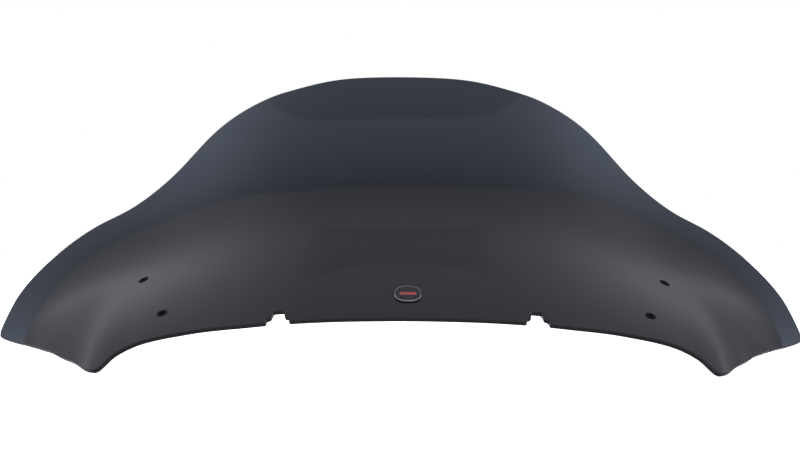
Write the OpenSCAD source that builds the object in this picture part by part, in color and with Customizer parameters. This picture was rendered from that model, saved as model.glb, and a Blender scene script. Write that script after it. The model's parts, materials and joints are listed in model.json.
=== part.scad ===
// Motorcycle fairing windshield screen: one thermoformed, trimmed polycarbonate
// sheet with four grommeted screw holes and a small layered badge.
// Frame: X to the right, -Y towards the front of the motorcycle, Z up.

/* [Sheet] */
// Thickness of the sheet
sheet_t = 4.8; // [3.5:0.1:6]
// Half width of the raised middle, where it has fallen to half its height
hip_half = 235; // [215:1:250]
// Distance behind the front edge at which the middle is least steep
mid_waist_y = 113; // [104:1:122]
// Height of the middle at that distance
mid_waist_z = 80; // [70:1:90]
// Distance behind the front edge at which the wings are least steep
wing_waist_y = 205; // [194:1:216]
// Height the wings would have at the centre line
wing_rise = 69; // [60:1:78]
// Fall of the wings from the centre line to their tips
wing_drop = 103; // [92:1:112]
// Distance from the centre line at which the wings start to droop further
tip_start = 297; // [288:1:306]
// Extra droop of the wings at their tips
tip_drop = 118; // [106:1:126]

/* [Sheet angles] */
// Slope of the middle at its front edge, degrees
mid_low_angle = 42; // [38:1:46]
// Slope of the middle at its waist, degrees
mid_waist_angle = 31; // [27:1:35]
// Slope of the middle near its top, degrees
mid_top_angle = 61; // [56:1:63]
// Slope of the wings at their front edge, degrees
wing_low_angle = 24; // [20:1:30]
// Slope of the wings at their waist, degrees
wing_waist_angle = 9; // [6:1:14]
// The same slope at the tips of the wings, degrees
tip_angle = 52; // [45:1:56]
// Slope of the wings near their rear edge, degrees
wing_top_angle = 55; // [50:1:58]
// Distance from the waist at which the low and top slopes are reached
slope_reach = 143; // [134:1:155]

/* [Fixing holes] */
// Diameter of the holes in the sheet
hole_d = 9.6; // [9:0.1:10.2]
// Distance of the lower holes from the centre line
low_hole_x = 244; // [235:1:255]
// Distance of the lower holes behind the front edge
low_hole_y = 75; // [68:1:84]
// Distance of the upper holes from the centre line
up_hole_x = 270; // [262:1:280]
// Distance of the upper holes behind the front edge
up_hole_y = 184; // [176:1:194]
// Outside diameter of the grommet flanges
flange_d = 11; // [10.8:0.1:14]
// Thickness of each grommet flange
flange_t = 0.5; // [0.4:0.1:1.2]
// Outside diameter of the metal sleeves
sleeve_d = 7.2; // [6.8:0.1:8]
// Bore of the sleeves, clearance for an M5 screw
sleeve_bore_d = 5.5; // [5.3:0.1:5.8]

/* [Front edge notches] */
// Distance of the notches from the centre line
notch_x = 128; // [118:1:138]
// Width of a notch at the front edge
notch_w = 23; // [18:1:28]
// Width of the deep part of a notch
notch_deep_w = 12; // [8:1:15]
// Depth of the shoulders of a notch, along the sheet
notch_shoulder = 7; // [4:0.5:9]
// Depth of the deep part of a notch, along the sheet
notch_depth = 17; // [13:0.5:20]

/* [Badge] */
// Distance of the badge behind the front edge
badge_y = 29; // [24:1:42]
// Width of the badge
badge_w = 26; // [22:0.5:32]
// Height of the badge along the sheet
badge_h = 24; // [18:0.5:26]
// Thickness of the adhesive pad
pad_t = 0.8; // [0.6:0.1:1.2]
// Thickness of the floor of the bezel
bezel_floor = 0.6; // [0.5:0.1:1]
// Height of the rim of the bezel above its floor
bezel_rim = 1.1; // [1:0.1:1.6]
// Width of the rim of the bezel
bezel_wall = 1; // [0.8:0.1:2]
// Thickness of the dark field and the bar set into it
field_t = 0.5; // [0.4:0.1:0.7]
// Length of the bar
bar_w = 17; // [8:0.5:18]
// Height of the bar
bar_h = 4.4; // [2.5:0.1:5]

/* [Hidden] */
// Trim of one half of the sheet in plan, as points [distance from the centre
// line, distance behind the front] on smooth curves. The front edge turns back
// at the ear near 305, and both edges meet at the tip.
front_edge = [
    [0, 0], [80, 3], [150, 13], [215, 29], [262, 36], [286, 30], [302, 16], [309, 18],
    [321, 37], [340, 93], [365, 183], [381, 224], [397, 252], [413, 272], [430, 290]
];
rear_edge = [
    [0, 271], [80, 272], [115, 275], [150, 283], [205, 299], [250, 304], [290, 310],
    [330, 319], [360, 321], [390, 318], [412, 311], [424, 301], [430, 294]
];
half_span = front_edge[len(front_edge) - 1][0];
// The wings drop as a parabola and the middle rises from them as a bell
bell_power = 4;
// Columns of facets stand closer round the ear and at the tip
half_x = [each [0 : 10 : 270], each [275 : 4 : 331], each [338 : 8 : 394],
    each [399 : 4 : 427], half_span];
rows = 18;
clearance = 0.05;
sheet_gap = 0.15;
smooth = 64;
grommet_len = sheet_t + 2 * (sheet_gap + flange_t);
badge_squareness = 2.5;
badge_points = 72;

// ---- shape of the sheet ----

// 1 on the centre line, 0.5 at hip_half, towards 0 in the wings
function bell(x) = 1 / (1 + pow(abs(x) / hip_half, bell_power));
function blend(wing, mid, x) = wing + (mid - wing) * bell(x);
// 0 up to tip_start, then growing to 1 at the tip
function tip_bend(x) = pow(max(abs(x) - tip_start, 0) / (half_span - tip_start), 2);

// Height of the outer face above the point x, y of the plan
function sheet_z(x, y) =
    let (waist_y = blend(wing_waist_y, mid_waist_y, x),
         waist_z = blend(wing_rise, mid_waist_z, x)
             - wing_drop * pow(x / half_span, 2) - tip_drop * tip_bend(x),
         waist_slope = blend(tan(wing_waist_angle), tan(mid_waist_angle), x)
             + (tan(tip_angle) - tan(wing_waist_angle)) * tip_bend(x),
         low_slope = blend(tan(wing_low_angle), tan(mid_low_angle), x),
         top_slope = blend(tan(wing_top_angle), tan(mid_top_angle), x),
         d = y - waist_y,
         gain = (d > 0 ? top_slope : low_slope) - waist_slope)
    waist_z + waist_slope * d + gain * pow(d, 3) / (3 * slope_reach * slope_reach);

function unit(v) = v / norm(v);
function sheet_normal(x, y) =
    unit([(sheet_z(x - 1, y) - sheet_z(x + 1, y)) / 2,
          (sheet_z(x, y - 1) - sheet_z(x, y + 1)) / 2, 1]);
function sheet_point(x, y, depth) = [x, y, sheet_z(x, y)] - depth * sheet_normal(x, y);

// Slope of a trim edge at its point i, and the smooth edge through its points
function edge_slope(edge, i) =
    i == 0 ? 0 :
    let (a = edge[i - 1], b = edge[min(i + 1, len(edge) - 1)])
    (b[1] - a[1]) / (b[0] - a[0]);
function edge_y(edge, x, i = 0) =
    i < len(edge) - 2 && x >= edge[i + 1][0] ? edge_y(edge, x, i + 1) :
    let (a = edge[i], b = edge[i + 1], step = b[0] - a[0], t = (x - a[0]) / step)
    (1 + 2 * t) * pow(1 - t, 2) * a[1]
    + t * pow(1 - t, 2) * step * edge_slope(edge, i)
    + t * t * (3 - 2 * t) * b[1]
    + t * t * (t - 1) * step * edge_slope(edge, i + 1);

// Columns [x, front, rear] across the whole sheet, from left to right
column_x = concat([for (i = [len(half_x) - 1 : -1 : 1]) -half_x[i]], half_x);
columns = [for (x = column_x)
    [x, edge_y(front_edge, abs(x)), edge_y(rear_edge, abs(x))]];

function skin(depth) = [
    for (c = columns, r = [0 : rows])
        sheet_point(c[0], c[1] + (c[2] - c[1]) * r / rows, depth)
];

// The frame's origin is the middle of the sheet's box, at its lowest level
both_skins = concat(skin(0), skin(sheet_t));
skin_y = [for (p = both_skins) p[1]];
skin_z = [for (p = both_skins) p[2]];
frame_shift = [0, -(min(skin_y) + max(skin_y)) / 2, -min(skin_z)];

module formed_sheet() {
    last = len(columns) - 1;
    row = rows + 1;
    back = len(columns) * row;
    outer_faces = [
        for (i = [0 : last - 1], j = [0 : rows - 1])
            let (a = i * row + j)
            each [[a, a + 1, a + row + 1], [a, a + row + 1, a + row]]
    ];
    inner_faces = [for (f = outer_faces) [f[0] + back, f[2] + back, f[1] + back]];
    front_rim = [for (i = [0 : last - 1])
        let (a = i * row, b = a + row)
        each [[a, b, b + back], [a, b + back, a + back]]];
    rear_rim = [for (i = [0 : last - 1])
        let (a = i * row + rows, b = a + row)
        each [[a, b + back, b], [a, a + back, b + back]]];
    left_rim = [for (j = [0 : rows - 1])
        each [[j, j + back, j + 1 + back], [j, j + 1 + back, j + 1]]];
    right_rim = [for (j = [0 : rows - 1])
        let (a = last * row + j)
        each [[a, a + 1, a + 1 + back], [a, a + 1 + back, a + back]]];
    polyhedron(
        points = both_skins,
        faces = concat(outer_faces, inner_faces, front_rim, rear_rim, left_rim, right_rim)
    );
}

// Puts its children on the outer face at x, y, with Z along the face normal
// and X level across the motorcycle, or in the direction of along
module on_sheet(x, y, along) {
    n = sheet_normal(x, y);
    across = is_undef(along) ? unit([n[2], 0, -n[0]]) : unit(along - (along * n) * n);
    up = cross(n, across);
    p = [x, y, sheet_z(x, y)];
    multmatrix([
        [across[0], up[0], n[0], p[0]],
        [across[1], up[1], n[1], p[1]],
        [across[2], up[2], n[2], p[2]]
    ]) children();
}

module at_frame() {
    translate(frame_shift) children();
}

// ---- pieces ----

function front_point(x) =
    let (y = edge_y(front_edge, abs(x)))
    [x, y, sheet_z(x, y)];

// Stepped cut in from the front edge, square to the face and the edge
module notch_cut(side) {
    middle = side * notch_x;
    flank = 1;
    half = notch_w / 2;
    deep_half = notch_deep_w / 2;
    along = front_point(middle + 1) - front_point(middle - 1);
    on_sheet(middle, front_point(middle)[1], along)
        translate([0, 0, -3 * sheet_t])
            linear_extrude(height = 5 * sheet_t)
                polygon([
                    [-half, -20], [-half, notch_shoulder - 2 * flank],
                    [-half + 2 * flank, notch_shoulder],
                    [-deep_half - flank, notch_shoulder], [-deep_half + flank, notch_depth],
                    [deep_half - flank, notch_depth], [deep_half + flank, notch_shoulder],
                    [half - 2 * flank, notch_shoulder],
                    [half, notch_shoulder - 2 * flank], [half, -20]
                ]);
}

module hole_cut(x, y) {
    on_sheet(x, y)
        translate([0, 0, -2 * sheet_t])
            cylinder(d = hole_d, h = 3 * sheet_t, $fn = smooth);
}

module screen() {
    color([0.16, 0.16, 0.18]) at_frame()
        difference() {
            formed_sheet();
            for (side = [-1, 1]) {
                notch_cut(side);
                hole_cut(side * low_hole_x, low_hole_y);
                hole_cut(side * up_hole_x, up_hole_y);
            }
        }
}

// Spool of rubber that lines a hole and grips both faces of the sheet
module grommet(x, y) {
    bore_r = sleeve_d / 2 + clearance;
    neck_r = hole_d / 2 - clearance;
    flange_r = flange_d / 2;
    lip = 0.3;
    top = sheet_gap + flange_t;
    foot = -sheet_t - top;
    color([0.05, 0.05, 0.05]) at_frame() on_sheet(x, y)
        rotate_extrude($fn = smooth)
            polygon([
                [bore_r, foot], [flange_r - lip, foot], [flange_r, foot + lip],
                [flange_r, foot + flange_t], [neck_r, foot + flange_t],
                [neck_r, sheet_gap], [flange_r, sheet_gap],
                [flange_r, top - lip], [flange_r - lip, top], [bore_r, top]
            ]);
}

// Plain metal tube that carries the clamping load of the screw
module sleeve(x, y) {
    outer_r = sleeve_d / 2;
    inner_r = sleeve_bore_d / 2;
    break_edge = 0.2;
    top = sheet_gap + flange_t;
    foot = top - grommet_len;
    color([0.25, 0.25, 0.27]) at_frame() on_sheet(x, y)
        rotate_extrude($fn = smooth)
            polygon([
                [inner_r, foot], [outer_r - break_edge, foot], [outer_r, foot + break_edge],
                [outer_r, top - break_edge], [outer_r - break_edge, top], [inner_r, top]
            ]);
}

// Rounded badge outline, drawn in from the full size by inset
module badge_outline(inset) {
    a = badge_w / 2 - inset;
    b = badge_h / 2 - inset;
    p = 2 / badge_squareness;
    polygon([for (i = [0 : badge_points - 1])
        let (t = 360 * i / badge_points)
        [a * sign(cos(t)) * pow(abs(cos(t)), p), b * sign(sin(t)) * pow(abs(sin(t)), p)]]);
}

module bar_outline(grow) {
    hull() for (side = [-1, 1])
        translate([side * (bar_w - bar_h) / 2, 0]) circle(d = bar_h + 2 * grow, $fn = 32);
}

// Places its children at height z above the sheet under the badge
module at_badge(z) {
    at_frame() on_sheet(0, badge_y) translate([0, 0, z]) children();
}

module badge_pad() {
    color([0.1, 0.1, 0.1]) at_badge(clearance)
        linear_extrude(height = pad_t) badge_outline(0.8);
}

module badge_bezel() {
    color([0.8, 0.8, 0.82]) at_badge(2 * clearance + pad_t)
        difference() {
            linear_extrude(height = bezel_floor + bezel_rim) badge_outline(0);
            translate([0, 0, bezel_floor])
                linear_extrude(height = 2 * bezel_rim) badge_outline(bezel_wall);
        }
}

module badge_field() {
    color([0.03, 0.03, 0.03]) at_badge(3 * clearance + pad_t + bezel_floor)
        linear_extrude(height = field_t)
            difference() {
                badge_outline(bezel_wall + clearance);
                bar_outline(clearance);
            }
}

module badge_bar() {
    color([0.6, 0.05, 0.05]) at_badge(3 * clearance + pad_t + bezel_floor)
        linear_extrude(height = field_t) bar_outline(0);
}

module badge_dome() {
    seat = bezel_rim - field_t - clearance;
    crown = 0.5;
    color([0.85, 0.85, 0.88, 0.5])
        at_badge(4 * clearance + pad_t + bezel_floor + field_t) {
            linear_extrude(height = seat) badge_outline(bezel_wall + clearance);
            translate([0, 0, seat])
                linear_extrude(height = crown, scale = 0.82)
                    badge_outline(bezel_wall + clearance);
        }
}

screen();
grommet(-low_hole_x, low_hole_y);  // grommet_lower_left
grommet(-up_hole_x, up_hole_y);  // grommet_upper_left
grommet(low_hole_x, low_hole_y);  // grommet_lower_right
grommet(up_hole_x, up_hole_y);  // grommet_upper_right
sleeve(-low_hole_x, low_hole_y);  // sleeve_lower_left
sleeve(-up_hole_x, up_hole_y);  // sleeve_upper_left
sleeve(low_hole_x, low_hole_y);  // sleeve_lower_right
sleeve(up_hole_x, up_hole_y);  // sleeve_upper_right
badge_pad();
badge_bezel();
badge_field();
badge_bar();
badge_dome();
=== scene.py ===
import json
import math

import bpy
import numpy as np
from mathutils import Matrix, Vector
from mathutils.bvhtree import BVHTree
from mathutils.geometry import delaunay_2d_cdt

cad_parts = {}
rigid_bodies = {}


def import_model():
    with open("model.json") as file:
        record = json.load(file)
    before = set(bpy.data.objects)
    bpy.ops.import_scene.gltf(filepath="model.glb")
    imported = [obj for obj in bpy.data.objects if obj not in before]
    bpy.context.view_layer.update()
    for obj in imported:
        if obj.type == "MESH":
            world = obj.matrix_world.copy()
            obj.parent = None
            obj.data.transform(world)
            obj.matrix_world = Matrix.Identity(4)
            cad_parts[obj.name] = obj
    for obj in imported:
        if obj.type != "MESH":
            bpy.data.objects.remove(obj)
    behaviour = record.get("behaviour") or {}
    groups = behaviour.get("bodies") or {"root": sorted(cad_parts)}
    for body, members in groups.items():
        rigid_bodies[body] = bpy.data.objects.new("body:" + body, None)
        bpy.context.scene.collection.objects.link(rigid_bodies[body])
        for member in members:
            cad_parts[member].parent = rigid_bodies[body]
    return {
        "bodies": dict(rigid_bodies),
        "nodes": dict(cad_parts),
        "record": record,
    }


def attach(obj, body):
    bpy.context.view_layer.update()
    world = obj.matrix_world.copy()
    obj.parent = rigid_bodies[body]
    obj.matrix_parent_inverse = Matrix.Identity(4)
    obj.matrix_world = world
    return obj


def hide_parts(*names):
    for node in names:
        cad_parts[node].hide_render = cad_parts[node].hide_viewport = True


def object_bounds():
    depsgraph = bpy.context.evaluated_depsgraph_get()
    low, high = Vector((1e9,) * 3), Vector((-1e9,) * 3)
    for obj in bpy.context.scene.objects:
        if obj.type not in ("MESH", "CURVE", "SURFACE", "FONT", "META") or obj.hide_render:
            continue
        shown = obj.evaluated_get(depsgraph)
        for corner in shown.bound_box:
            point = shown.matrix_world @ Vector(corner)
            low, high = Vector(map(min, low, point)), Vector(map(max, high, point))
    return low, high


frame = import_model()
cad_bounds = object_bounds()
NODES = frame["nodes"]
MOUNTS = {m["name"]: m for m in frame["record"]["mounts"]}
ROOT = list(frame["bodies"])[0]
CORNERS = ("lower_left", "upper_left", "lower_right", "upper_right")
MM = 0.001
# Levels and radii of CAD points closer together than this count as the same
SAME = 0.00002

# ------------------------------------------------------------------ sheet shape


def welded(name):
    """Vertices and triangles of a CAD node with its seams joined."""
    mesh = NODES[name].data
    co = np.empty(3 * len(mesh.vertices))
    mesh.vertices.foreach_get("co", co)
    co = co.reshape(-1, 3)
    mesh.calc_loop_triangles()
    tris = np.empty(3 * len(mesh.loop_triangles), dtype=int)
    mesh.loop_triangles.foreach_get("vertices", tris)
    tris = tris.reshape(-1, 3)
    _, first, inverse = np.unique(
        np.round(co * 1e6).astype(np.int64), axis=0, return_index=True, return_inverse=True)
    tris = inverse.reshape(-1)[tris]
    keep = (tris[:, 0] != tris[:, 1]) & (tris[:, 1] != tris[:, 2]) & (tris[:, 2] != tris[:, 0])
    return co[first], tris[keep]


def face_normals(co, tris):
    n = np.cross(co[tris[:, 1]] - co[tris[:, 0]], co[tris[:, 2]] - co[tris[:, 0]])
    return n / np.maximum(np.linalg.norm(n, axis=1), 1e-18)[:, None]


def boundary_loops(tris):
    """Closed loops of vertex numbers round the open edges of a set of triangles."""
    edges = np.concatenate([tris[:, [0, 1]], tris[:, [1, 2]], tris[:, [2, 0]]])
    have = set(map(tuple, edges.tolist()))
    follow = {a: b for a, b in have if (b, a) not in have}
    loops = []
    while follow:
        start, b = follow.popitem()
        loop = [start]
        while b != start:
            loop.append(b)
            b = follow.pop(b)
        loops.append(loop)
    return sorted(loops, key=len, reverse=True)


class Skin:
    """Smooth height field fitted to the outer face of the CAD sheet."""

    def __init__(self, points, deg_x=26, deg_y=9):
        self.x_half = np.abs(points[:, 0]).max()
        self.y_mid = (points[:, 1].min() + points[:, 1].max()) / 2
        self.y_half = (points[:, 1].max() - points[:, 1].min()) / 2
        u, v = points[:, 0] / self.x_half, (points[:, 1] - self.y_mid) / self.y_half
        pu = np.polynomial.chebyshev.chebvander(u, deg_x)[:, ::2]
        pv = np.polynomial.chebyshev.chebvander(v, deg_y)
        design = (pu[:, :, None] * pv[:, None, :]).reshape(len(points), -1)
        sol = np.linalg.lstsq(design, points[:, 2], rcond=1e-10)[0]
        self.coef = np.zeros((deg_x + 1, deg_y + 1))
        self.coef[::2] = sol.reshape(-1, deg_y + 1)
        self.fit_error = np.abs(design @ sol - points[:, 2]).max()

    def height(self, x, y):
        return np.polynomial.chebyshev.chebval2d(
            np.clip(x / self.x_half, -1, 1), (y - self.y_mid) / self.y_half, self.coef)

    def point(self, x, y):
        return np.stack([x, y, self.height(x, y)], axis=-1)

    def normal(self, x, y, h=0.0005):
        x = np.clip(x, -self.x_half + h, self.x_half - h)
        gx = (self.height(x + h, y) - self.height(x - h, y)) / (2 * h)
        gy = (self.height(x, y + h) - self.height(x, y - h)) / (2 * h)
        n = np.stack([-gx, -gy, np.ones_like(gx)], axis=-1)
        return n / np.linalg.norm(n, axis=-1)[..., None]


sheet_co, sheet_tris = welded("screen")
sheet_normals = face_normals(sheet_co, sheet_tris)
# The faces of the sheet look more or less along this direction or against it
OUTWARD = np.array([0.0, -0.6, 0.8])
FACING = 0.5
outer_tris = sheet_tris[sheet_normals @ OUTWARD > FACING]
inner_tris = sheet_tris[sheet_normals @ OUTWARD < -FACING]
skin = Skin(sheet_co[np.unique(outer_tris)])

# Thickness of the CAD sheet, measured through it near the middle
inner_tree = BVHTree.FromPolygons(
    [tuple(p) for p in sheet_co], [tuple(t) for t in inner_tris.tolist()])
probe_x, probe_y = np.meshgrid(np.linspace(-0.1, 0.1, 7), np.linspace(-0.06, 0.03, 6))
probe_p = skin.point(probe_x.ravel(), probe_y.ravel())
probe_n = skin.normal(probe_x.ravel(), probe_y.ravel())
hits = [inner_tree.ray_cast(Vector(p), Vector(-n)) for p, n in zip(probe_p, probe_n)]
SHEET_T = float(np.median([h[3] for h in hits if h[0] is not None]))


def turn_angles(p):
    a = p - np.roll(p, 1, axis=0)
    b = np.roll(p, -1, axis=0) - p
    return np.abs(np.arctan2(a[:, 0] * b[:, 1] - a[:, 1] * b[:, 0], (a * b).sum(1)))


def spline_run(p, spacing):
    """Points about spacing apart on a smooth curve through an open run of points."""
    if len(p) < 3:
        n = max(int(np.ceil(np.linalg.norm(p[-1] - p[0]) / spacing)), 1)
        t = np.linspace(0, 1, n + 1)[:, None]
        return p[0] * (1 - t) + p[-1] * t
    d = np.linalg.norm(np.diff(p, axis=0), axis=1)
    s = np.r_[0, np.cumsum(d)]
    slope = np.empty_like(p)
    w = (d[1:] / (d[:-1] + d[1:]))[:, None]
    chord = np.diff(p, axis=0) / d[:, None]
    slope[1:-1] = w * chord[:-1] + (1 - w) * chord[1:]
    slope[0], slope[-1] = 2 * chord[0] - slope[1], 2 * chord[-1] - slope[-2]
    q = np.linspace(0, s[-1], max(int(round(s[-1] / spacing)), 2) + 1)
    i = np.clip(np.searchsorted(s, q, side="right") - 1, 0, len(d) - 1)
    t = ((q - s[i]) / d[i])[:, None]
    h = d[i][:, None]
    return ((1 + 2 * t) * (1 - t) ** 2 * p[i] + t * (1 - t) ** 2 * h * slope[i]
            + t * t * (3 - 2 * t) * p[i + 1] + t * t * (t - 1) * h * slope[i + 1])


def smooth_loop(p, corner=math.radians(25), sigma=0.001, fine=0.0005, reach=0.006):
    """Resamples a closed plan loop smoothly and rounds its sharp corners off.
    Points end up 1 mm apart within reach of a corner and 2.5 mm apart elsewhere."""
    gap = np.linalg.norm(p - np.roll(p, 1, axis=0), axis=1)
    p = p[gap > SAME]
    corners = np.flatnonzero(turn_angles(p) > corner)
    p = np.roll(p, -corners[0], axis=0)
    corners = np.r_[corners - corners[0], len(p)]
    closed = np.vstack([p, p[:1]])
    dense = np.vstack([spline_run(closed[a:b + 1], fine)[:-1]
                       for a, b in zip(corners[:-1], corners[1:])])
    width = int(4 * sigma / fine)
    kernel = np.exp(-0.5 * (np.arange(-width, width + 1) * fine / sigma) ** 2)
    kernel /= kernel.sum()
    wrapped = np.vstack([dense[-width:], dense, dense[:width]])
    dense = np.stack([np.convolve(wrapped[:, k], kernel, mode="valid") for k in (0, 1)], axis=1)
    near = loop_distance(dense, p[corners[:-1]]) < reach
    near_step, far_step = 2, 5
    keep = [0]
    for k in range(1, len(dense)):
        if k - keep[-1] >= (near_step if near[k] else far_step):
            keep.append(k)
    return dense[keep]


def inside_loop(p, loop):
    a, b = loop, np.roll(loop, -1, axis=0)
    result = np.zeros(len(p), dtype=bool)
    for (ax, ay), (bx, by) in zip(a, b):
        if ay == by:
            continue
        crosses = (ay > p[:, 1]) != (by > p[:, 1])
        result ^= crosses & (p[:, 0] < (bx - ax) * (p[:, 1] - ay) / (by - ay) + ax)
    return result


def loop_distance(p, loop):
    best = np.full(len(p), 1e9)
    for a in loop:
        best = np.minimum(best, (p[:, 0] - a[0]) ** 2 + (p[:, 1] - a[1]) ** 2)
    return np.sqrt(best)


def rim_frame(loop):
    """Points, face normals and outward directions along a plan loop on the skin."""
    p = skin.point(loop[:, 0], loop[:, 1])
    n = skin.normal(loop[:, 0], loop[:, 1])
    t = np.roll(p, -1, axis=0) - np.roll(p, 1, axis=0)
    b = np.cross(t, n)
    return p, n, b / np.linalg.norm(b, axis=1)[:, None]


def moved_in(loop, r):
    """The loop moved a distance r into the sheet, along its face."""
    p, _, b = rim_frame(loop)
    return (p - r * b)[:, :2]


def area(loop):
    """Plan area of a loop, negative when it runs clockwise."""
    nxt = np.roll(loop, -1, axis=0)
    return 0.5 * (loop[:, 0] * nxt[:, 1] - nxt[:, 0] * loop[:, 1]).sum()


def axis_frame(name):
    """Origin and axes at a screw hole: across, up the sheet, out of the sheet."""
    m = MOUNTS[name]
    n = np.array(m["axis"], dtype=float)
    n /= np.linalg.norm(n)
    across = np.array([n[2], 0, -n[0]])
    across /= np.linalg.norm(across)
    return np.array(m["pos_m"]), across, np.cross(n, across), n


def hole_loop(name, radius, count=40):
    """Where a bore square to the sheet meets the outer face, clockwise from above."""
    p, across, up, n = axis_frame(name)
    loop = []
    for k in range(count):
        a = -2 * math.pi * k / count
        q = p + radius * (math.cos(a) * across + math.sin(a) * up)
        for _ in range(6):
            q = q + n * ((skin.height(q[0], q[1]) - q[2]) / n[2])
        loop.append(q[:2])
    return np.array(loop)


outer_loops = boundary_loops(outer_tris)
trim_loop = sheet_co[outer_loops[0]][:, :2]
if area(trim_loop) < 0:
    trim_loop = trim_loop[::-1]
trim_loop = smooth_loop(trim_loop)

# Radius of the holes in the sheet, from the CAD edge of the first one
first_hole = sheet_co[outer_loops[1]]
p0, _, _, n0 = min((axis_frame("screw_" + c) for c in CORNERS),
                   key=lambda f: np.linalg.norm(f[0] - first_hole.mean(0)))
rel = first_hole - p0
HOLE_R = float(np.median(np.linalg.norm(rel - (rel @ n0)[:, None] * n0, axis=1)))

RIM_R, HOLE_RIM_R = 0.0008, 0.0003
loops = [(trim_loop, RIM_R)]
loops += [(hole_loop("screw_" + c, HOLE_R), HOLE_RIM_R) for c in CORNERS]
edge_loops = [moved_in(loop, r) for loop, r in loops]


def grid_points(grid=0.004, trim_gap=0.0022, hole_gap=0.0012):
    """A grid over the plan of the sheet that keeps clear of its trim and holes."""
    trim = edge_loops[0]
    (x0, x1), (y0, y1) = [(trim[:, k].min(), trim[:, k].max()) for k in (0, 1)]
    nx = int((x1 - x0) / grid) // 2
    xs = np.arange(-nx, nx + 1) * grid
    ys = np.arange(y0 + grid / 2, y1, grid)
    points = np.array([[x, y] for x in xs for y in ys])
    points = points[inside_loop(points, trim)]
    points = points[loop_distance(points, trim) > trim_gap]
    for hole in edge_loops[1:]:
        points = points[~inside_loop(points, hole)]
        points = points[loop_distance(points, hole) > hole_gap]
    return points


def plan_triangles(plan):
    """Triangles between the points of the plan, inside the trim and outside the holes."""
    edges, start = [], 0
    for loop in edge_loops:
        n = len(loop)
        edges += [(start + k, start + (k + 1) % n) for k in range(n)]
        start += n
    v2, _, faces, orig, _, _ = delaunay_2d_cdt(
        [Vector(p) for p in plan], edges, [], 0, 1e-7, True)
    assert len(v2) == len(plan), "the outline crosses itself"
    order = [o[0] for o in orig]
    faces = np.array([[order[i] for i in f] for f in faces])
    mid = plan[faces].mean(axis=1)
    keep = inside_loop(mid, edge_loops[0])
    for hole in edge_loops[1:]:
        keep &= ~inside_loop(mid, hole)
    faces = faces[keep]
    a, b, c = (plan[faces[:, k]] for k in range(3))
    flip = np.cross(b - a, c - a) < 0
    faces[flip] = faces[flip][:, ::-1]
    return faces


def build_sheet(arc_steps=4):
    """The outer and inner faces of the sheet, joined by round rims at the trim
    and at the holes."""
    plan = np.vstack(edge_loops + [grid_points()])
    faces = plan_triangles(plan)
    p, n = skin.point(plan[:, 0], plan[:, 1]), skin.normal(plan[:, 0], plan[:, 1])
    count = len(plan)
    verts = [p, p - SHEET_T * n]
    normals = [n, -n]
    polys = [tuple(f) for f in faces.tolist()]
    polys += [(f[2] + count, f[1] + count, f[0] + count) for f in faces.tolist()]
    slots = [0] * len(polys)
    total, start = 2 * count, 0
    for loop, (_, r) in zip(edge_loops, loops):
        size = len(loop)
        e, en, eb = rim_frame(loop)
        rings = [np.arange(start, start + size)]
        angles = np.linspace(0, math.pi / 2, arc_steps + 1)[1:]
        for near in (True, False):
            for ang in (angles if near else angles[::-1]):
                out, down = r * math.sin(ang), r * (1 - math.cos(ang))
                depth = down if near else SHEET_T - down
                verts.append(e + out * eb - depth * en)
                normals.append(math.sin(ang) * eb + (1 if near else -1) * math.cos(ang) * en)
                rings.append(np.arange(total, total + size))
                total += size
        rings.append(np.arange(start + count, start + count + size))
        for r0, r1 in zip(rings[:-1], rings[1:]):
            for k in range(size):
                m = (k + 1) % size
                polys.append((r0[k], r1[k], r1[m], r0[m]))
                slots.append(1)
        start += size
    mesh = bpy.data.meshes.new("screen_sheet")
    mesh.from_pydata(np.vstack(verts).tolist(), [], [tuple(int(i) for i in f) for f in polys])
    mesh.update()
    mesh.polygons.foreach_set("material_index", slots)
    mesh.polygons.foreach_set("use_smooth", [True] * len(polys))
    mesh.normals_split_custom_set_from_vertices(np.vstack(normals).tolist())
    obj = bpy.data.objects.new("screen_sheet", mesh)
    bpy.context.collection.objects.link(obj)
    return obj


sheet = build_sheet()
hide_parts("screen")
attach(sheet, ROOT)
print("sheet: fit error %.3f mm, thickness %.3f mm, hole radius %.3f mm, %d faces" % (
    skin.fit_error / MM, SHEET_T / MM, HOLE_R / MM, len(sheet.data.polygons)))

# ------------------------------------------------------------------ small pieces


def add_piece(name, verts, faces, node, smooth_angle=35):
    """A mesh piece that stands for a CAD node and rides with the screen."""
    mesh = bpy.data.meshes.new(name)
    mesh.from_pydata([tuple(map(float, v)) for v in verts], [], faces)
    mesh.update()
    mesh.shade_smooth()
    mesh.set_sharp_from_angle(angle=math.radians(smooth_angle))
    obj = bpy.data.objects.new(name, mesh)
    bpy.context.collection.objects.link(obj)
    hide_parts(node)
    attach(obj, ROOT)
    return obj


def local_points(node, axes):
    """A CAD node's points as across, up and out distances from an origin."""
    origin, across, up, out = axes
    rel = welded(node)[0] - origin
    return np.stack([rel @ across, rel @ up, rel @ out], axis=1)


def to_world(points, axes):
    origin, across, up, out = axes
    return origin + points[:, :1] * across + points[:, 1:2] * up + points[:, 2:3] * out


def filleted(corners, steps=5):
    """A closed outline through corners [a, b, fillet] with each corner rounded."""
    c = np.array(corners, dtype=float)
    result = []
    for k in range(len(c)):
        p, r = c[k, :2], c[k, 2]
        a, b = c[k - 1, :2] - p, c[(k + 1) % len(c), :2] - p
        a, b = a / np.linalg.norm(a), b / np.linalg.norm(b)
        if r <= 0:
            result.append(p)
            continue
        half = math.acos(np.clip(a @ b, -1, 1)) / 2
        middle = p + (a + b) / np.linalg.norm(a + b) * r / math.sin(half)
        start, end = p + a * r / math.tan(half), p + b * r / math.tan(half)
        for t in np.linspace(0, 1, steps + 1):
            q = (start - middle) * (1 - t) + (end - middle) * t
            result.append(middle + q / np.linalg.norm(q) * r)
    return np.array(result)


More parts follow.
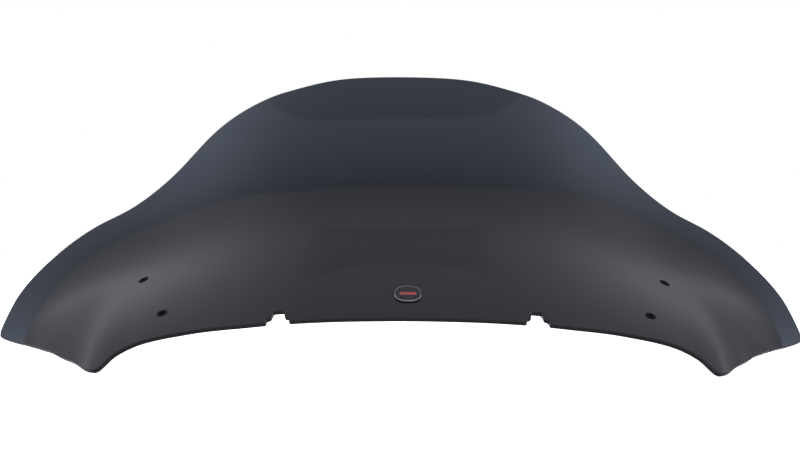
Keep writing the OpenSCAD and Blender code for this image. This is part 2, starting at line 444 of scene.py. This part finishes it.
def ring_faces(rings, size, closed):
    """Quads between neighbouring rings of points, joined end to end if closed."""
    faces = []
    for i in range(rings if closed else rings - 1):
        j = (i + 1) % rings
        for k in range(size):
            m = (k + 1) % size
            faces.append((i * size + k, i * size + m, j * size + m, j * size + k))
    return faces


def turned(name, node, axes, corners, count=72):
    """A turned part: the closed outline [radius, height, fillet] spun round its axis."""
    outline = filleted(corners)
    a = 2 * math.pi * np.arange(count) / count
    verts = np.vstack([np.stack([r * np.cos(a), r * np.sin(a), np.full(count, z)], axis=1)
                       for r, z in outline])
    return add_piece(name, to_world(verts, axes), ring_faces(len(outline), count, True),
                     node)


def levels(values, tolerance=SAME):
    """The separate values in a list, lowest first."""
    v = np.sort(values)
    groups = np.split(v, np.flatnonzero(np.diff(v) > tolerance) + 1)
    return [float(g.mean()) for g in groups]


def turned_profile(node, axes):
    """Radius and height of each CAD point of a turned piece."""
    p = local_points(node, axes)
    return np.hypot(p[:, 0], p[:, 1]), p[:, 2]


def build_grommet(corner, lip=0.00028, small=0.0001):
    """A rubber spool with soft lips on its flanges."""
    node, axes = "grommet_" + corner, axis_frame("screw_" + corner)
    radius, height = turned_profile(node, axes)
    bore_r, neck_r = levels(radius)[:2]
    flange_r, foot, top = radius.max(), height.min(), height.max()
    neck_z = height[np.abs(radius - neck_r) < SAME]
    under, over = neck_z.min(), neck_z.max()
    return turned("rubber_" + node, node, axes, [
        (bore_r, foot, small), (flange_r, foot, lip), (flange_r, under, small),
        (neck_r, under, small), (neck_r, over, small), (flange_r, over, small),
        (flange_r, top, lip), (bore_r, top, small)])


def build_sleeve(corner, edge=0.0002):
    """A plain tube with its edges broken."""
    node, axes = "sleeve_" + corner, axis_frame("screw_" + corner)
    radius, height = turned_profile(node, axes)
    inner_r, outer_r, foot, top = radius.min(), radius.max(), height.min(), height.max()
    return turned("steel_" + node, node, axes, [
        (inner_r, foot, edge), (outer_r, foot, edge), (outer_r, top, edge),
        (inner_r, top, edge)])


grommets, sleeves = [], []
for corner in CORNERS:
    grommets.append(build_grommet(corner))
    sleeves.append(build_sleeve(corner))

# ------------------------------------------------------------------ badge


def flat_frame(node):
    """Origin and axes of a flat CAD node, at the middle of its lower face."""
    co = welded(node)[0]
    n = skin.normal(0.0, co[:, 1].mean()).reshape(3)
    across = np.array([1.0, 0.0, 0.0])
    low = co[(co @ n) < (co @ n).min() + SAME]
    return low.mean(axis=0), across, np.cross(n, across), n


BADGE_AXES = flat_frame("badge_pad")
BADGE_SQUARENESS = 2.5
BADGE_COUNT = 144


def badge_size(node):
    """Half width, half height, lowest and highest level of a badge node."""
    p = local_points(node, BADGE_AXES)
    return np.abs(p[:, 0]).max(), np.abs(p[:, 1]).max(), p[:, 2].min(), p[:, 2].max()


def oval(a, b, count=BADGE_COUNT):
    t = 2 * math.pi * np.arange(count) / count
    p = 2 / BADGE_SQUARENESS
    c, s = np.cos(t), np.sin(t)
    return np.stack([a * np.sign(c) * np.abs(c) ** p, b * np.sign(s) * np.abs(s) ** p], axis=1)


def capsule(a, b, count=BADGE_COUNT):
    """A bar outline with round ends: half length a, half height b."""
    t = 2 * math.pi * np.arange(count) / count
    shift = (a - b) * np.sign(np.round(np.cos(t), 9))
    return np.stack([b * np.cos(t) + shift, b * np.sin(t)], axis=1)


def lofted(name, node, rings):
    """A closed solid through rings [outline, height], each end closed at its middle."""
    size = len(rings[0][0])
    verts = np.vstack([np.column_stack([o, np.full(size, z)]) for o, z in rings])
    faces = ring_faces(len(rings), size, False)
    for ring, flip in ((0, True), (len(rings) - 1, False)):
        centre = len(verts)
        verts = np.vstack([verts, [[*rings[ring][0].mean(axis=0), rings[ring][1]]]])
        for k in range(size):
            a, b = ring * size + k, ring * size + (k + 1) % size
            faces.append((centre, b, a) if flip else (centre, a, b))
    return add_piece(name, to_world(verts, BADGE_AXES), faces, node)


def looped(name, node, rings):
    """A closed ring-shaped solid through rings [outline, height]."""
    size = len(rings[0][0])
    verts = np.vstack([np.column_stack([o, np.full(size, z)]) for o, z in rings])
    return add_piece(name, to_world(verts, BADGE_AXES), ring_faces(len(rings), size, True),
                     node)


def build_pad(inset=0.0001, turn=1.35, steps=9):
    """The foam pad, whose sides bulge."""
    a, b, lo, hi = badge_size("badge_pad")
    bulge = (hi - lo) / 2
    rings = []
    for t in np.linspace(-turn, turn, steps):
        drawn_in = bulge * (1 - math.cos(t)) + inset
        rings.append((oval(a - drawn_in, b - drawn_in), (lo + hi) / 2 + bulge * math.sin(t)))
    return lofted("foam_pad", "badge_pad", rings)


def build_bezel(foot_r=0.00025, floor_r=0.0001, foot_inset=0.0004, floor_inset=0.0002):
    """The tray: a rolled rim round a floor that lies just under the field."""
    field_a, _, field_lo, _ = badge_size("badge_field")
    a, b, lo, hi = badge_size("badge_bezel")
    wall, floor = a - field_a, field_lo - 0.00005
    rim_r = 0.9 * wall / 2
    profile = filleted([(0.0, lo, foot_r), (0.0, hi, rim_r), (wall, hi, rim_r),
                        (wall, floor, floor_r)], steps=7)[:-1]
    rings = [(oval(a - foot_inset, b - foot_inset), lo)]
    rings += [(oval(a - q, b - q), z) for q, z in profile]
    rings.append((oval(a - wall - floor_inset, b - wall - floor_inset), floor))
    return lofted("chrome_bezel", "badge_bezel", rings)


def build_field(gap=0.00006, crease=0.00012):
    """The enamel field, with a slot that the bar stands in."""
    a, b, lo, hi = badge_size("badge_field")
    bar_a, bar_b, _, _ = badge_size("badge_bar")
    slot_a, slot_b = bar_a + gap, bar_b + gap
    return looped("enamel_field", "badge_field", [
        (oval(a, b), lo), (oval(a, b), hi - crease), (oval(a - crease, b - crease), hi),
        (capsule(slot_a + crease, slot_b + crease), hi),
        (capsule(slot_a, slot_b), hi - crease), (capsule(slot_a, slot_b), lo)])


def build_bar(crown=0.00018, spread=0.7, steps=5):
    """The enamel bar, whose top is crowned over part of its half height."""
    a, b, lo, hi = badge_size("badge_bar")
    rings = [(capsule(a, b), lo), (capsule(a, b), hi - crown)]
    for t in np.linspace(0, math.pi / 2, steps + 1)[1:]:
        inset = spread * b * (1 - math.cos(t))
        rings.append((capsule(a - inset, b - inset), hi - crown + crown * math.sin(t)))
    return lofted("enamel_bar", "badge_bar", rings)


def build_dome(edge_part=0.45, turn=0.94 * math.pi / 2, steps=8):
    """The clear dome: an upright edge and a crown above it."""
    a, b, lo, hi = badge_size("badge_dome")
    edge = lo + edge_part * (hi - lo)
    rings = [(oval(a, b), lo), (oval(a, b), edge)]
    for t in np.linspace(0, turn, steps + 1)[1:]:
        keep = math.cos(t)
        rings.append((oval(a * keep, b * keep), edge + (hi - edge) * math.sin(t)))
    return lofted("clear_dome", "badge_dome", rings)


badge_pad, badge_bezel = build_pad(), build_bezel()
badge_field, badge_bar = build_field(), build_bar()
badge_dome = build_dome()

# ------------------------------------------------------------------ materials


class Graph:
    """Short calls for wiring shader nodes; inputs are numbers, colours or sockets."""

    def __init__(self, tree):
        self.tree = tree

    def put(self, socket, value):
        if isinstance(value, bpy.types.NodeSocket):
            self.tree.links.new(value, socket)
        elif hasattr(value, "__len__") and len(value) == 3 and socket.type == "RGBA":
            socket.default_value = (*value, 1)
        else:
            socket.default_value = value

    def node(self, kind, inputs=None, **settings):
        n = self.tree.nodes.new(kind)
        for key, value in settings.items():
            setattr(n, key, value)
        for key, value in (inputs or {}).items():
            self.put(n.inputs[key], value)
        return n

    def math(self, operation, a, b=0.0, c=0.0):
        return self.node("ShaderNodeMath", {0: a, 1: b, 2: c}, operation=operation).outputs[0]

    def line(self, value, slope, offset):
        return self.math("MULTIPLY_ADD", value, slope, offset)

    def smooth(self, value, low, high, out_low=0.0, out_high=1.0):
        """Goes smoothly from out_low at low to out_high at high."""
        n = self.node("ShaderNodeMapRange", {0: value, 1: low, 2: high, 3: out_low, 4: out_high},
                      interpolation_type="SMOOTHSTEP")
        return n.outputs[0]

    def mix(self, factor, a, b):
        n = self.node("ShaderNodeMix", data_type="RGBA")
        for socket, value in ((n.inputs[0], factor), (n.inputs[6], a), (n.inputs[7], b)):
            self.put(socket, value)
        return n.outputs[2]

    def scale(self, color, factor):
        n = self.node("ShaderNodeVectorMath", operation="SCALE")
        self.put(n.inputs[0], color)
        self.put(n.inputs[3], factor)
        return n.outputs[0]

    def noise(self, scale, detail=2.0, stretch=None):
        """Noise over the object, scale in cells per metre, from 0 to 1."""
        coord = self.node("ShaderNodeTexCoord").outputs["Object"]
        if stretch:
            coord = self.node("ShaderNodeMapping", {"Vector": coord, "Scale": stretch}).outputs[0]
        return self.node("ShaderNodeTexNoise", {"Vector": coord, "Scale": scale,
                                                "Detail": detail}).outputs["Fac"]

    def cells(self, scale):
        """Distance to the nearest of scattered points, scale in cells per metre."""
        coord = self.node("ShaderNodeTexCoord").outputs["Object"]
        return self.node("ShaderNodeTexVoronoi", {"Vector": coord, "Scale": scale},
                         feature="F1").outputs["Distance"]

    def lobe(self, *spreads):
        """Falls off smoothly from 1; each spread is (value, centre, width)."""
        total = 0.0
        for value, centre, width in spreads:
            off = self.math("MULTIPLY", self.math("SUBTRACT", value, centre), 1 / width)
            total = self.line(off, off, total)
        return self.math("EXPONENT", self.math("MULTIPLY", total, -1.0))

    def bump(self, height, distance, under=None):
        n = self.node("ShaderNodeBump", {"Height": height, "Distance": distance, "Strength": 1.0})
        if under is not None:
            self.put(n.inputs["Normal"], under)
        return n.outputs[0]


def material(name, **inputs):
    """A Principled material; the caller wires its colour, roughness and bump."""
    m = bpy.data.materials.new(name)
    m.use_nodes = True
    g = Graph(m.node_tree)
    shader = m.node_tree.nodes["Principled BSDF"]
    for key, value in inputs.items():
        g.put(shader.inputs[key.replace("_", " ")], value)
    return m, g, shader


def varied(g, shader, dark, light, factor):
    g.put(shader.inputs["Base Color"], g.mix(factor, dark, light))


def roughened(g, shader, factor, at_low, at_high, low=0.3, high=0.7):
    """Roughness that goes from at_low to at_high as the factor goes from low to high."""
    g.put(shader.inputs["Roughness"], g.smooth(factor, low, high, at_low, at_high))


def bumped(g, shader, height, distance):
    g.put(shader.inputs["Normal"], g.bump(height, distance))


def smoke_polycarbonate():
    """Polished dark smoke sheet: deep tint, faint forming waves, hairline wipe marks."""
    m, g, shader = material("smoke_polycarbonate", IOR=1.58)
    varied(g, shader, (0.0062, 0.0062, 0.0075), (0.0088, 0.0088, 0.0104), g.noise(5.0))
    hairline = g.noise(34.0, 3.0, stretch=(1.0, 14.0, 14.0))
    marks = g.smooth(hairline, 0.55, 0.75, 0.0, 0.02)
    haze = g.smooth(g.noise(11.0), 0.3, 0.7, 0.03, 0.045)
    g.put(shader.inputs["Roughness"], g.math("ADD", marks, haze))
    waves = g.bump(g.noise(7.0, 1.0), 0.0004)
    g.put(shader.inputs["Normal"], g.bump(g.noise(60.0, 1.0), 0.00001, waves))
    return m


def sheet_edge():
    """Cut and flame-polished edge of the sheet, satin with faint router marks."""
    m, g, shader = material("sheet_edge", IOR=1.5)
    varied(g, shader, (0.003, 0.003, 0.0035), (0.007, 0.007, 0.008), g.noise(120.0))
    g.put(shader.inputs["Specular IOR Level"], 0.3)
    roughened(g, shader, g.noise(300.0), 0.25, 0.42)
    ripple = g.noise(900.0, 1.0, stretch=(1.0, 1.0, 0.2))
    bumped(g, shader, ripple, 0.00004)
    return m


def grommet_rubber():
    """Moulded black rubber: matte, faintly pitted, with paler dust in the pores."""
    m, g, shader = material("grommet_rubber", IOR=1.5)
    pores = g.noise(2600.0, 4.0)
    varied(g, shader, (0.003, 0.003, 0.003), (0.009, 0.009, 0.009), g.smooth(pores, 0.5, 0.8))
    g.put(shader.inputs["Specular IOR Level"], 0.08)
    roughened(g, shader, g.noise(500.0), 0.6, 0.8)
    bumped(g, shader, pores, 0.00006)
    return m


def sleeve_steel():
    """Turned steel with black zinc plating and fine lathe lines."""
    m, g, shader = material("sleeve_steel", Metallic=1.0)
    wear = g.noise(900.0, 3.0)
    varied(g, shader, (0.012, 0.012, 0.013), (0.03, 0.03, 0.032), g.smooth(wear, 0.5, 0.75))
    roughened(g, shader, wear, 0.38, 0.55)
    lines = g.noise(1200.0, 1.0, stretch=(0.3, 0.3, 6.0))
    bumped(g, shader, lines, 0.00002)
    return m


def bezel_chrome():
    """Bright chrome with a trace of haze and polishing marks."""
    m, g, shader = material("bezel_chrome", Metallic=1.0)
    varied(g, shader, (0.22, 0.211, 0.196), (0.31, 0.297, 0.278), g.noise(300.0))
    roughened(g, shader, g.noise(1500.0, 3.0), 0.06, 0.16, 0.35, 0.7)
    bumped(g, shader, g.noise(700.0, 2.0), 0.00003)
    return m


def field_black():
    """Gloss black enamel with a slight orange peel."""
    m, g, shader = material("field_black", IOR=1.5)
    varied(g, shader, (0.002, 0.002, 0.0025), (0.005, 0.005, 0.0055), g.noise(600.0, 3.0))
    g.put(shader.inputs["Specular IOR Level"], 0.2)
    roughened(g, shader, g.noise(900.0), 0.12, 0.24)
    bumped(g, shader, g.noise(1400.0, 2.0), 0.00003)
    return m


def bar_red():
    """Red enamel over a fine metallic flake."""
    m, g, shader = material("bar_red", IOR=1.5, Metallic=0.35)
    flake = g.cells(5200.0)
    varied(g, shader, (0.42, 0.012, 0.008), (0.75, 0.07, 0.05), g.smooth(flake, 0.1, 0.6))
    roughened(g, shader, flake, 0.18, 0.34, 0.1, 0.6)
    g.put(shader.inputs["Coat Weight"], 0.6)
    bumped(g, shader, flake, 0.00003)
    return m


def pad_foam():
    """Closed-cell black foam tape."""
    m, g, shader = material("pad_foam", IOR=1.4)
    cell = g.cells(2800.0)
    varied(g, shader, (0.006, 0.006, 0.006), (0.03, 0.03, 0.03), g.smooth(cell, 0.1, 0.7))
    roughened(g, shader, cell, 0.98, 0.8, 0.0, 0.7)
    bumped(g, shader, cell, 0.0001)
    return m


def dome_clear():
    """Clear cast resin with a faint warm cast and soft pour ripples."""
    m, g, shader = material("dome_clear", IOR=1.3, Transmission_Weight=1.0)
    varied(g, shader, (0.95, 0.96, 0.97), (1.0, 1.0, 1.0), g.noise(200.0))
    g.put(shader.inputs["Specular IOR Level"], 0.15)
    roughened(g, shader, g.noise(800.0), 0.0, 0.03)
    bumped(g, shader, g.noise(260.0, 1.0), 0.00004)
    return m


sheet.data.materials.append(smoke_polycarbonate())
sheet.data.materials.append(sheet_edge())
# The photo shows no reflection of the sheet in itself, so its gloss leaves it out
sheet.visible_glossy = False
rubber, steel = grommet_rubber(), sleeve_steel()
for ring, tube in zip(grommets, sleeves):
    ring.data.materials.append(rubber)
    tube.data.materials.append(steel)
for piece, finish in ((badge_pad, pad_foam()), (badge_bezel, bezel_chrome()),
                      (badge_field, field_black()), (badge_bar, bar_red()),
                      (badge_dome, dome_clear())):
    piece.data.materials.append(finish)

# ------------------------------------------------------------------ stage


WHITE = (1.0, 1.0, 1.0)


def front_panels(g, u, v, side, ahead):
    """Cool panels in front, brighter away from their rear edge and at the sides.
    The farther one starts at a slightly slanted edge and is a little dimmer."""
    edge_level, gain, brightest = 0.274, 0.84, 1.45
    far_slant, far_start, far_blur, far_dimming = -0.06, -0.487, 0.008, 0.16
    side_gain = 0.84
    past_edge = g.math("SUBTRACT", v, g.line(u, far_slant, far_start))
    far = g.smooth(past_edge, -far_blur, far_blur, 1.0, 0.0)
    level = g.line(far, -far_dimming, g.line(ahead, gain, edge_level))
    side_box = g.lobe((side, 2.35, 1.21), (v, 0.49, 1.26))
    level = g.line(side_box, side_gain, level)
    return g.scale((0.86, 1.0, 1.28), g.math("MINIMUM", level, brightest))


def rear_panel(g, u, v, side, height):
    """A neutral panel behind, with a dark card over its middle. It is brighter to
    the sides, most of all to the left, and fades out near the ground."""
    left_level, middle_level, right_gain = 0.515, 0.393, 0.042
    card_dimming, side_gain, ground_part = 0.065, 0.22, 0.312
    level = g.math("ADD", g.smooth(u, -0.7, -0.1, left_level, middle_level),
                   g.smooth(u, 0.1, 0.7, 0.0, right_gain))
    card = g.math("MULTIPLY", g.smooth(v, 0.459, 0.479), g.smooth(side, 0.13, 0.24, 1.0, 0.0))
    level = g.line(card, -card_dimming, level)
    side_box = g.lobe((side, 1.16, 0.2), (v, 0.9, 0.69))
    level = g.line(side_box, side_gain, level)
    fade = g.smooth(height, 0.134, 0.538, ground_part, 1.0)
    return g.scale((0.99, 1.0, 1.11), g.math("MULTIPLY", level, fade))


def studio_light():
    """A soft studio: cool light in front and at the sides, dimmer neutral light behind.
    Directions are read as places on a flat ceiling one unit up: u to the right,
    v away from the camera. Each panel edge is a line or a curve on that ceiling."""
    world = bpy.data.worlds.new("studio")
    bpy.context.scene.world = world
    world.use_nodes = True
    g = Graph(world.node_tree)
    direction = g.node("ShaderNodeTexCoord").outputs["Generated"]
    x, y, z = g.node("ShaderNodeSeparateXYZ", {0: direction}).outputs
    up = g.math("MAXIMUM", z, 0.05)
    u, v = g.math("DIVIDE", x, up), g.math("DIVIDE", y, up)
    side = g.math("ABSOLUTE", u)

    # The cool and neutral panels meet at a slanted parabola on the ceiling
    bow, slant, middle, blur = 0.348, -0.046, 0.056, 0.02
    edge = g.line(u, slant, g.line(g.math("MULTIPLY", u, u), bow, middle))
    ahead = g.math("SUBTRACT", edge, v)
    panels = g.mix(g.smooth(ahead, -blur, blur),
                   rear_panel(g, u, v, side, z), front_panels(g, u, v, side, ahead))

    # Only mirror reflections see the panels; the background and matte surfaces see white
    path = g.node("ShaderNodeLightPath").outputs
    seen = g.mix(path["Is Diffuse Ray"], panels, WHITE)
    seen = g.mix(path["Is Camera Ray"], seen, WHITE)
    g.put(world.node_tree.nodes["Background"].inputs["Color"], seen)


def add_floor(half=8.0, glow=0.92):
    """A large pale floor that glows for the camera, so that it runs into the background."""
    mesh = bpy.data.meshes.new("floor")
    mesh.from_pydata([(-half, -half, 0), (half, -half, 0), (half, half, 0), (-half, half, 0)],
                     [], [(0, 1, 2, 3)])
    floor = bpy.data.objects.new("floor", mesh)
    bpy.context.collection.objects.link(floor)
    m, g, shader = material("floor_white", Roughness=0.9, Specular_IOR_Level=0.1)
    varied(g, shader, (0.78, 0.78, 0.79), (0.82, 0.82, 0.82), g.noise(2.0))
    camera_ray = g.node("ShaderNodeLightPath").outputs["Is Camera Ray"]
    g.put(shader.inputs["Emission Color"], WHITE)
    g.put(shader.inputs["Emission Strength"], g.math("MULTIPLY", camera_ray, glow))
    mesh.materials.append(m)


studio_light()
add_floor()


def add_camera(azimuth=-1.24, elevation=0.12, roll=0.38, distance=3.0, lens=132.15):
    """Camera at the photograph's viewing angle: level, almost square to the front.
    It aims at a point a little ahead of the middle of the sheet, about half way up."""
    lo, hi = cad_bounds
    aim_ahead, aim_height = 0.0192, 0.1517
    target = Vector((0, (lo[1] + hi[1]) / 2 - aim_ahead, lo[2] + aim_height))
    az, el, ro = (math.radians(v) for v in (azimuth, elevation, roll))
    back = Vector((math.sin(az) * math.cos(el), -math.cos(az) * math.cos(el), math.sin(el)))
    level = (-back).cross(Vector((0, 0, 1))).normalized()
    upright = level.cross(-back)
    right = level * math.cos(ro) + upright * math.sin(ro)
    up = upright * math.cos(ro) - level * math.sin(ro)
    cam = bpy.data.objects.new("camera", bpy.data.cameras.new("camera"))
    bpy.context.collection.objects.link(cam)
    turn = Matrix((right, up, back)).transposed().to_4x4()
    cam.matrix_world = Matrix.Translation(target + distance * back) @ turn
    cam.data.sensor_width = 36
    cam.data.lens = lens
    cam.data.shift_x = -0.0073
    cam.data.shift_y = -0.0091
    cam.data.clip_end = 50
    bpy.context.scene.camera = cam


add_camera()
bpy.context.scene.view_settings.view_transform = "Standard"
